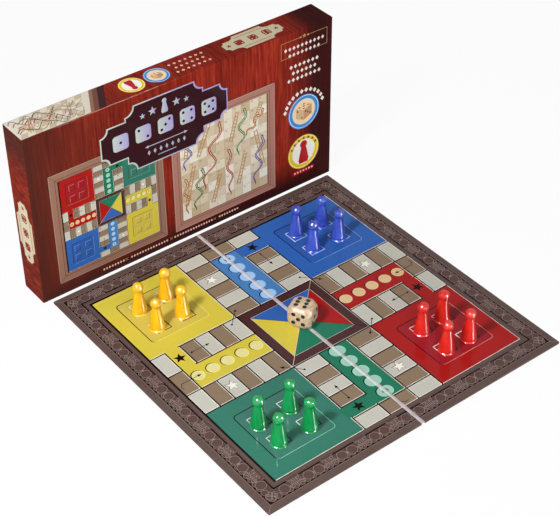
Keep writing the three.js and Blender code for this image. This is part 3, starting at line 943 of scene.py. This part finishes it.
def titlePlaque(sheet, x, y, level):
    # a wide scooped panel over a tall one, silver round dark, with dice, stars, arrows and a pawn
    wide, tall, high = np.array(plaque["wide"]), np.array(plaque["tall"]), y + plaque["rise"]
    for rim, colour, lift in ((0, "silver", level), (plaque["rim"], "plaque", level + 1)):
        sheet.add(notched(x, high, *(wide - rim), plaque["wideScoop"]), colour, lift)
        sheet.add(notched(x, y, *(tall - rim), plaque["tallScoop"]), colour, lift + 0.5)
    level += 3
    for index in range(plaque["dice"]):
        place = x + (index - 2) * plaque["diePitch"]
        dieFace(sheet, place, high, plaque["dieSide"], index + 1, "silver", "plaque", level)
    sheet.add(pawnShape(x, y + 20, 21), "silver", level)
    for sign in (-1, 1):
        sheet.add(stars((x + sign * 18, y + 29), 6.5), "silver", level)
        sheet.add(stars((x + sign * 33, y + 27), 4.5), "silver", level)
        arrow(sheet, [(x, y - 20.5), (x + sign * 30, y - 20.5)], "silverLine", level, 1.1, 2.6)
    lozengeRow(sheet, x, y - 30, 7, 9, 4.2, 7.5, "silver", level)
    sheet.line((x - 14, y - 38), (x + 14, y - 38), 1.0, "silverLine", level)


def sideColumn(sheet, x):
    # a bracket with rows of lozenges, then the two badges and a label
    for sign in (-1, 1):
        edge = x + sign * 38.5
        for first, last in (((edge - sign * 29, 238), (edge, 238)), ((edge, 238.3), (edge, 213.7)),
                            ((edge - sign * 20, 214), (edge, 214))):
            sheet.line(first, last, 0.6, "gold", 2)
        lozenges(sheet, [(x + sign * 6.5, 238)], 5, 3, "gold", 2)
    sheet.add(stars((x, 238.5), 3.4), "gold", 3)
    for y, count, wide in ((226, 10, 5.0), (216, 8, 5.0), (197.5, 7, 5.4), (187.5, 6, 5.4), (177.5, 8, 5.4)):
        lozengeRow(sheet, x, y, count, wide + 1.9, wide, wide + 1, "white", 2)
    badge(sheet, x, 120.7, 26.7, "blue", "medal", 2)
    dieSolid(sheet, x, 122.5, 16.0, 6)
    lozenges(sheet, arcOf(x, 120.7, 33.5, 16, 164, 12), 6.4, 7.4, "white", 2)
    badge(sheet, x, 55, 27.0, "yellow", "medalPale", 2)
    sheet.add(pawnShape(x, 36.5, 37), "red", 7)
    sheet.add(stars(arcOf(x, 55, 22.7, 25, 155, 7), 3.0), "peachDark", 6)
    sheet.add(roundRect(168, 20, 206, 26.6, 2), "red", 2)
    lozengeRow(sheet, x, 23.3, 7, 5, 3.4, 3.2, "white", 3)


def frontArt():
    # two framed pictures of the games, the plaque over them, and a column at the right
    sheet = InkSheet(boxArt)
    pictureFrame(sheet, -207.7, 18.3, -42.7, 184.3, 13.2, *boxArt["frame"])
    # the right frame takes the lit tones, painted light from the right
    pictureFrame(sheet, -29.3, 16.3, 137.7, 185.7, 13.0, *boxArt["frameLit"])
    reach = ludo["side"] / 2 - ludo["border"]
    small = playField(reach, reach, ("red", "green", "yellow", "blue"), True)
    sheet.take(small, (-124.5, 101.7), np.array((139.6, 141.3)) / 382.5, 6)
    sheet.take(snakesSheet(14.1, 14.5), (53.8, 101.5), lift=7)
    titlePlaque(sheet, -35.3, 189, 26)
    sideColumn(sheet, 187.3)
    # a thin rule of lozenges along the foot
    steps = np.arange(-143, 73, 4.3)
    steps = steps[np.abs((steps + 143) % 71 - 35) > 4]
    lozenges(sheet, rowAt(steps, 10), 3.4, 4.0, "peach", 1)
    for x in (-108, -37, 34):
        for rise in (-2, 2):
            sheet.line((x - 2, 10 - rise), (x + 2, 10 + rise), 0.6, "gold", 1)
    return sheet


def beigePlaque(sheet, x, y, along, level):
    # the small plaque of the top and end walls: along is its long direction
    small = InkSheet(boxArt)
    small.add(notched(0, 0, 92, 22, 5), "beige", level)
    small.add(notched(0, 0, 58, 36, 6), "beige", level + 0.5)
    for index, value in enumerate((2, 4, 6)):
        dieFace(small, (index - 1) * 22, 0, 12, value, "beigeInk", "beige", level + 1)
    for sign in (-1, 1):
        small.add(stars((sign * 38, 0), 4, 0), "beigeInk", level + 1)
        small.line((-22, sign * 12.5), (22, sign * 12.5), 0.8, "beigeInk", level + 1)
    sheet.take(small, (x, y), turn=np.array((along, (-along[1], along[0])), float))


topLook = {
    "ground": ((22, "3a1714", 1), (12, "6d4436", 2), (5, "8d6351", 3), (0, "d9cfbe", 4)), "cell": "c3b196",
    "ladder": "9a7448",
    "snakes": ((-230, -150, 11, "8a6a4c"), (-222, -132, 31, "5d7a52"), (-205, -160, 22, "9c3a34"),
               (-232, -190, 36, "4f6f8e"), (-190, -142, 8, "5d7a52"), (-226, -200, 19, "a86a30"),
               (-231, -168, 14, "3c4a3a"), (-215, -140, 26, "6b4a3a"), (-200, -142, 35, "54483c"),
               (-229, -180, 29, "a8505a"), (-178, -139, 15, "3f5f86")),
}


def topArt():
    sheet = InkSheet(boxArt)
    # the picture that wraps over from the front, cut on a slant, with its grid, snakes and ladders
    for grow, tone, level in topLook["ground"]:
        sheet.add([[(-235, 0.4), (-139 + grow, 0.4), (-116 + grow, 44.1), (-235, 44.1)]], tone, level)
    column, row = (m.ravel() for m in np.meshgrid(np.arange(9), np.arange(5)))
    low = np.stack([-234 + column * 9.6 + row * 4.2, 1.2 + row * 8.6], -1)[(column + row) % 2 == 0]
    sheet.add(stamp(low, np.array([(0, 0), (9.6, 0), (13.8, 8.6), (4.2, 8.6)])), topLook["cell"], 5)
    t = np.linspace(0, 1, 40)
    for x0, x1, y0, tone in topLook["snakes"]:
        path = np.stack([x0 + (x1 - x0) * t, y0 + 6 * np.sin(t * 13)], -1)
        sheet.add(ribbon(path, 1.5 - 0.9 * t), tone, 6 + y0 / 50)
    for x in (-218, -186, -164):
        for rail in (x, x + 3.4):
            sheet.line((rail, 6), (rail + 12, 36), 0.7, topLook["ladder"], 7)
        for rung in np.linspace(0.12, 0.88, 7):
            left, height = x + 12 * rung, 6 + 30 * rung
            sheet.line((left, height), (left + 3.4, height), 0.6, topLook["ladder"], 7.3)
    badge(sheet, -67, 22, 17, "yellow", "medalPale", 2)
    sheet.add(pawnShape(-67, 33.5, 23, True), "red", 7)
    badge(sheet, -30, 22, 17, "blue", "medal", 2)
    dieSolid(sheet, -30, 22.5, 9, 6)
    for y, count in ((12, 7), (22, 6), (32, 7)):
        lozengeRow(sheet, 20, y, count, 8.2, 4.6, 4.6, "peach", 2)
    beigePlaque(sheet, 120, 22.5, (1, 0), 2)
    return sheet


def makeBoxArt():
    low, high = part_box("box_lid")
    frontArt().build("boxArtFront", (0, low.y, 0), (1, 0, 0), (0, 0, 1), "box_lid", "lid_carton")
    topArt().build("boxArtTop", (0, low.y, high.z), (1, 0, 0), (0, 1, 0), "box_lid", "lid_carton", 0.005)
    for name, x, side in (("Left", low.x, -1), ("Right", high.x, 1)):
        sheet = InkSheet(boxArt)
        beigePlaque(sheet, side * 22.3, 100, (0, 1), 2)
        sheet.build("boxArt" + name, (x, low.y, 0), (0, side, 0), (0, 0, 1), "box_lid", "lid_carton", 0.005)


makeBoxArt()
print("stage: box print")


# The second game's print on the underside

underLook = {
    "frame": "5f4740", "frameDark": "2c1a19", "frameLight": "8d776d", "pitch": 12.6, "rowDepth": 19.3,
    "lines": ((8.8, "frameLight", 20.4), (9.4, "frameDark", 20.8), (10.6, "frame", 21.2),
              (28.0, "frameLight", 21.6), (28.6, "frame", 22), (32.6, "frameDark", 22.4)),
}


def underSheet(reachX, reachY):
    # a brown frame with two lines and a run of small lozenges, round the hundred cells
    sheet = InkSheet(underLook)
    halfX, halfY, border = (ludo["side"] - ludo["fold"]) / 2, ludo["side"] / 2, ludo["border"]
    sheet.nest((-reachX, -reachY, reachX, reachY), (0, "frame", 20))
    sheet.nest((-halfX, -halfY, halfX, halfY), *underLook["lines"])
    inwards = underLook["rowDepth"]
    for reach, depth, upright in ((halfX, halfY, False), (halfY, halfX, True)):
        end = reach - inwards
        steps = np.linspace(-end, end, round(2 * end / underLook["pitch"]) + 1)
        steps = steps[1:-1] if upright else steps
        for sign in (-1, 1):
            centres = rowAt(steps, sign * (depth - inwards))
            centres = centres[:, ::-1] if upright else centres
            lozenges(sheet, centres, 9.4, 9.4, "frameLight", 22)
            lozenges(sheet, centres, 7.4, 7.4, "frameDark", 22.4)
            sheet.add(discs(centres, 1.3, 12), "frameLight", 22.8)
    sheet.take(snakesSheet((halfX - border) / 5, (halfY - border) / 5), lift=23)
    return sheet


def makeUnderside():
    # the print faces down: across runs towards -X, so each half swaps sides
    lows = {side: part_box("snakes_print_" + side) for side in ("left", "right")}
    low, high = lows["right"]
    whole = underSheet((high.x - low.x) / mm, (high.y - low.y) / mm / 2)
    for side, sign in (("left", 1), ("right", -1)):
        low, high = lows[side]
        crease = high.x if side == "left" else low.x
        piece = whole.half(sign, 0).build("snakesSheet_" + side, (crease, (low.y + high.y) / 2, high.z),
                                          (-1, 0, 0), (0, 1, 0), "board_" + side, "snakes_print")
        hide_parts("snakes_print_" + side)
    print("stage: underside print,", len(whole.inks), "inks")


makeUnderside()


# The worn crease over the spine

crease = {
    "stepsAcross": 13, "stepAlong": 0.75, "weld": 1e-7, "worn": "cfc6c9", "wornShare": 0.72,
    "patches": (0.1, 0.37, 0.11), "paintedMiddleLight": 1.12, "paintedShadeFall": 0.22,
}


def creaseColour(v):
    # the print's colour at a distance v along the crease, before wear
    reach, arm, inner = ludo["side"] / 2 - ludo["border"], ludo["armHalf"], ludo["frameInner"]
    cell = (reach - arm) / 6
    away = np.abs(v)
    position = (reach - away) / cell
    onDisc = (position > 1) & (position < 6) & (np.abs(position % 1 - 0.5) * cell < ludo["discRadius"])
    lane, rim = (np.where((v > 0)[:, None], srgb(tint[back]), srgb(tint[front]))
                 for back, front in (("blueLane", "green"), ("blueDisc", "greenDisc")))
    colour = np.tile(srgb(tint["borderGround"]), (len(v), 1))
    for there, tone in ((away < reach, srgb(tint["tan"])), (position > 1, lane), (onDisc, rim),
                        (away < arm, srgb(tint["frame"])), (away < inner, lane)):
        colour = np.where(there[:, None], tone, colour)
    return colour


def makeCrease():
    # a crowned top over a flat underside, carried along the board: height = edge + crown (1 - s^2)
    low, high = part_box("spine_print")
    spread = np.linspace(-1, 1, crease["stepsAcross"])
    topX = spread * (high.x - low.x) / 2
    topZ = boardTop + (high.z - boardTop) * (1 - spread ** 2)
    ring = np.concatenate([np.stack([topX, topZ], -1), [(topX[-1], low.z), (topX[0], low.z)]])
    rows = int((high.y - low.y) / (crease["stepAlong"] * mm)) + 1
    along = np.linspace(low.y, high.y, rows)
    count = len(ring)
    points = np.stack([np.tile(ring[:, 0], rows), np.repeat(along, count), np.tile(ring[:, 1], rows)], -1)
    faces = gridFaces(rows, count, closeColumns=True).tolist()
    faces += [list(range(count)), list(range((rows - 1) * count, rows * count))[::-1]]
    mesh = meshOf(points, faces, crease["weld"])
    # the wear covers most of the print in slow patches, and painted light and shade across the crown make the colour
    # lighter on the left and darker to the right
    v = (along - boardMiddle[1]) / mm
    depth, slow, slower = crease["patches"]
    share = (crease["wornShare"] + depth * np.sin(v * slow) * np.sin(v * slower))[:, None]
    tone = creaseColour(v) * (1 - share) + np.array(srgb(crease["worn"])) * share
    # painted highlight on the left of the crown and painted shade on its right
    light = crease["paintedMiddleLight"] - crease["paintedShadeFall"] * np.concatenate([spread, [1, -1]])
    colours = tone[:, None, :] * light[None, :, None]
    colours[..., 3] = 1
    paintPoints(mesh, np.clip(colours, 0, 1))
    piece = finishPiece("creasePrint", mesh, "board_spine", [inkPrint])
    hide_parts("spine_print")


makeCrease()
dressNode("spine_tape", clothTape())
greyboard = rawBoard("greyboardFibres", "857b6e", "aca292", 500)
for side in ("left", "right"):
    dressNode("board_core_" + side, greyboard)
dressNode("box_tray", rawBoard("trayBoard", "bdb7ab", "d6d1c6", 300))
dressNode("box_lid", woodPrint())
print("stage: crease, cores and cartons dressed")


# Pawns

pawn = {
    "height": 46.4, "head": 7.1, "neck": 5.1, "skirt": 10.5, "skirtHeight": 5.8, "foot": 9.3,
    "wall": 1.5, "cavity": 24, "steps": 72, "weld": 1e-7,
    "footLine": [(9.7, 0), (10.25, 0.08), (10.46, 0.3), (10.42, 0.55), (10.24, 0.85), (9.96, 1.16),
                 (9.6, 1.46), (9.36, 1.66), (9.3, 1.85), (9.45, 2.25), (9.78, 3.0), (10.08, 3.8),
                 (10.24, 4.7), (10.24, 5.5), (10.1, 6.2), (9.85, 7.0), (9.65, 7.6)],
}


def bezier(first, middle, last, steps):
    # quadratic blend: (1 - t)^2 first + 2 t (1 - t) middle + t^2 last
    t = np.linspace(0, 1, steps)[:, None]
    return (1 - t) ** 2 * np.array(first) + 2 * t * (1 - t) * np.array(middle) + t ** 2 * np.array(last)


def pawnProfile():
    # hollow from below, a foot with a ring under a groove, straight flare up to the neck, ball head
    wall, skirt, low, top, head = (pawn[k] for k in ("wall", "skirt", "skirtHeight", "cavity", "head"))
    centre = pawn["height"] - head
    neckAngle = math.asin(pawn["neck"] / head)
    neckHeight = centre - head * math.cos(neckAngle)
    taper = (skirt - pawn["neck"]) / (neckHeight - low)
    hollow = skirt - taper * (top - low) - wall
    inside = bezier((0, top), (hollow, top), (hollow + 0.4, top - 3), 8)
    foot = pawn["foot"] - wall
    innerFoot = bezier((skirt - wall, low), (foot + 0.6, 2.0), (foot, 0), 6)
    knots = np.array(pawn["footLine"])
    steps = np.linspace(0, len(knots) - 1, 3 * len(knots))
    edge = np.stack([np.interp(steps, np.arange(len(knots)), knots[:, k]) for k in (0, 1)], -1)
    flare = np.linspace(knots[-1], (pawn["neck"] + 0.12, neckHeight - 0.6), 12)[1:]
    angle = np.linspace(neckAngle + 0.06, math.pi, 28)
    ball = np.stack([head * np.sin(angle), centre - head * np.cos(angle)], -1)
    ball[-1, 0] = 0
    return np.concatenate([inside, innerFoot, edge, flare, ball])


pawnPoints, pawnFaces = revolve(pawnProfile(), pawn["steps"])
for colour, plastic in plastics.items():
    for number in range(1, 5):
        node = f"{colour}_pawn_{number}"
        low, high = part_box(node)
        foot = np.array(((low.x + high.x) / 2, (low.y + high.y) / 2, low.z))
        mesh = meshOf(pawnPoints * mm + foot, pawnFaces, pawn["weld"])
        piece = finishPiece(f"{colour}Pawn_{number}", mesh, node, [plastic], True)
        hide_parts(node)
print("stage: pawns turned")


# Die

die = {
    "side": 32.6, "height": 31, "edge": 8, "ball": 20.6, "cells": 48, "pipRadius": 2.95, "pipDepth": 1.35,
    "pipPitch": 6.4, "sixRow": 5.8, "weld": 1e-7, "sharp": 35,
    "drift": {6: (-0.125, 0.08), 1: (0.06, -0.05), 5: (0.09, 0.22),
              2: (-0.06, 0.08), 3: (0, -0.09), 4: (0.05, -0.06)},
}
dieFaces = {
    6: ((1, 0, 0), (0, 1, 0)), 1: ((-1, 0, 0), (0, 1, 0)), 5: ((1, 0, 0), (0, 0, 1)),
    2: ((-1, 0, 0), (0, 0, 1)), 3: ((0, 1, 0), (0, 0, 1)), 4: ((0, -1, 0), (0, 0, 1)),
}


def dieBody():
    # each side's grid is pulled in to a smaller block, pushed out by the edge radius, and kept inside a ball
    reach, edge, cells = np.array((die["side"], die["side"], die["height"])) / 2, die["edge"], die["cells"]
    a, b = (m[..., None] for m in np.meshgrid(*[np.linspace(-1, 1, cells)] * 2, indexing="ij"))
    points, faces = [], []
    for index, (across, up) in enumerate(dieFaces.values()):
        flat = (a * np.array(across, float) + b * np.array(up, float) + np.cross(across, up)) * reach
        core = np.clip(flat, edge - reach, reach - edge)
        away = flat - core
        away /= np.linalg.norm(away, axis=-1, keepdims=True)
        rounded = core + edge * away
        rounded *= np.minimum(1, die["ball"] / np.linalg.norm(rounded, axis=-1, keepdims=True))
        points.append(rounded.reshape(-1, 3))
        faces.append(gridFaces(cells, cells) + index * cells ** 2)
    return np.concatenate(points), np.concatenate(faces)


def pipCutters():
    # balls whose caps sink to the pip's depth: radius = (r^2 + d^2) / 2 d
    depth, pitch = die["pipDepth"], die["pipPitch"]
    radius = (die["pipRadius"] ** 2 + depth ** 2) / (2 * depth)
    turn = np.linspace(0, math.pi, 17)
    ball = np.stack([radius * np.sin(turn), -radius * np.cos(turn)], -1)
    ball[[0, -1], 0] = 0
    ballPoints, ballFaces = revolve(ball, 32)
    points, faces = [], []
    for value, (across, up) in dieFaces.items():
        basis = np.array([across, up, np.cross(across, up)], float)
        height = (die["height"] if basis[2, 2] else die["side"]) / 2 + radius - depth
        stepAcross = die["sixRow"] if value == 6 else pitch
        driftAcross, driftUp = np.array(die["drift"][value]) * pitch
        for i, j in pipLayouts[value]:
            faces.append(ballFaces + len(points) * len(ballPoints))
            centre = (i * stepAcross + driftAcross, j * pitch + driftUp, height)
            points.append((ballPoints + centre) @ basis)
    return np.concatenate(points), np.concatenate(faces)


def makeDie():
    # the tumbled block, turned as it lies, with the balls cut out of it and their paint left in the hollows
    low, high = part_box("wooden_die")
    turn = math.radians(dieLook["turn"])
    spin = np.array([[math.cos(turn), math.sin(turn), 0], [-math.sin(turn), math.cos(turn), 0], [0, 0, 1]])
    middle = np.array((low + high) / 2)
    mesh, cutterMesh = (meshOf((points @ spin) * mm + middle, faces, die["weld"])
                        for points, faces in (dieBody(), pipCutters()))
    cutterMesh.materials.append(pipPaint())
    cutter = bpy.data.objects.new("pipCutter", cutterMesh)
    bpy.context.scene.collection.objects.link(cutter)
    piece = finishPiece("woodenDie", mesh, "wooden_die", [dieWood()], True)
    drill = piece.modifiers.new("drill", "BOOLEAN")
    drill.object = cutter
    drill.operation = "DIFFERENCE"
    drill.solver = "EXACT"
    drill.material_mode = "TRANSFER"
    bpy.context.view_layer.update()
    drilled = bpy.data.meshes.new_from_object(piece.evaluated_get(bpy.context.evaluated_depsgraph_get()))
    piece.modifiers.clear()
    piece.data = drilled
    bpy.data.objects.remove(cutter)
    drilled.set_sharp_from_angle(angle=math.radians(die["sharp"]))
    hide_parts("wooden_die")


makeDie()
print("stage: die drilled")


# Floor and lights

stageLook = {"floorSide": 9.0, "sink": 0.0002, "seenGlow": 0.93, "ambient": 0.27}
lamps = {
    "keyPanel": {"azimuth": -78, "elevation": 49, "distance": 1.6, "size": (0.25, 0.25), "power": 17.5},
    "shinePanel": {"azimuth": -78, "elevation": 50, "distance": 1.6, "size": (0.58, 0.58), "power": 165.0,
                   "shineOnly": True},
    "fillPanel": {"azimuth": -16, "elevation": 24, "distance": 2.4, "size": (1.4, 1.0), "power": 22.0},
    "stripPanel": {"azimuth": 24, "elevation": 14, "distance": 1.15, "size": (0.26, 0.4), "power": 48.0,
                   "shineOnly": True},
    "streakPanel": {"azimuth": 26, "elevation": -21, "distance": 1.15, "size": (0.22, 0.5), "power": 84.0,
                    "shineOnly": True, "only": "Pawn"},
}


def makeFloor():
    # a square of paper that looks nearly white where it is seen, and keeps the shadows
    points = rects((-1, -1, 1, 1))[0] * stageLook["floorSide"] / 2
    mesh = meshOf(np.pad(points, ((0, 0), (0, 1)), constant_values=-stageLook["sink"]), [[0, 1, 2, 3]])
    floor = bpy.data.objects.new("floor", mesh)
    bpy.context.scene.collection.objects.link(floor)
    material, tree, shader = newMaterial(
        "floorPaper", Base_Color=(0.9, 0.9, 0.9, 1), Roughness=0.9, Specular_IOR_Level=0.1)
    glow = addNode(tree, "ShaderNodeEmission", {"Color": (1, 1, 1, 1), "Strength": 1.0})
    blend = addNode(tree, "ShaderNodeMixShader", {
        0: math2(tree, "MULTIPLY", seenRays(tree), stageLook["seenGlow"]), 1: shader.outputs[0], 2: glow.outputs[0]})
    tree.links.new(blend.outputs[0], tree.nodes["Material Output"].inputs["Surface"])
    mesh.materials.append(material)


def makeWorld():
    # white where it is seen, and dimmer for the light that it gives
    world = bpy.data.worlds.new("paleRoom")
    bpy.context.scene.world = world
    world.use_nodes = True
    tree, ambient = world.node_tree, stageLook["ambient"]
    extra = math2(tree, "MULTIPLY", seenRays(tree), 1 - ambient)
    background = tree.nodes["Background"]
    background.inputs["Color"].default_value = (1, 1, 1, 1)
    tree.links.new(math2(tree, "ADD", extra, ambient), background.inputs["Strength"])


def addLamp(name, azimuth, elevation, distance, size, power, shineOnly=False, only=""):
    # a soft panel on a sphere round the board, facing its middle; a shine-only one is seen just in gloss,
    # and one with a word lights and is stopped by the pieces that have it in their names
    az, el = math.radians(azimuth), math.radians(elevation)
    direction = Vector((math.sin(az) * math.cos(el), -math.cos(az) * math.cos(el), math.sin(el)))
    data = bpy.data.lights.new(name, "AREA")
    data.shape = "RECTANGLE"
    data.size, data.size_y = size
    data.energy = power
    lamp = bpy.data.objects.new(name, data)
    lamp.location = direction * distance
    lamp.rotation_euler = direction.to_track_quat("Z", "Y").to_euler()
    lamp.visible_diffuse = not shineOnly
    lamp.visible_camera = False
    if only:
        group = bpy.data.collections.new(name + "Pieces")
        for piece in bpy.data.objects:
            if only in piece.name:
                group.objects.link(piece)
        lamp.light_linking.receiver_collection = group
        lamp.light_linking.blocker_collection = group
    bpy.context.scene.collection.objects.link(lamp)


makeFloor()
makeWorld()
for name, settings in lamps.items():
    addLamp(name, **settings)
bpy.context.scene.view_settings.view_transform = "Standard"
print("stage: floor and lights")
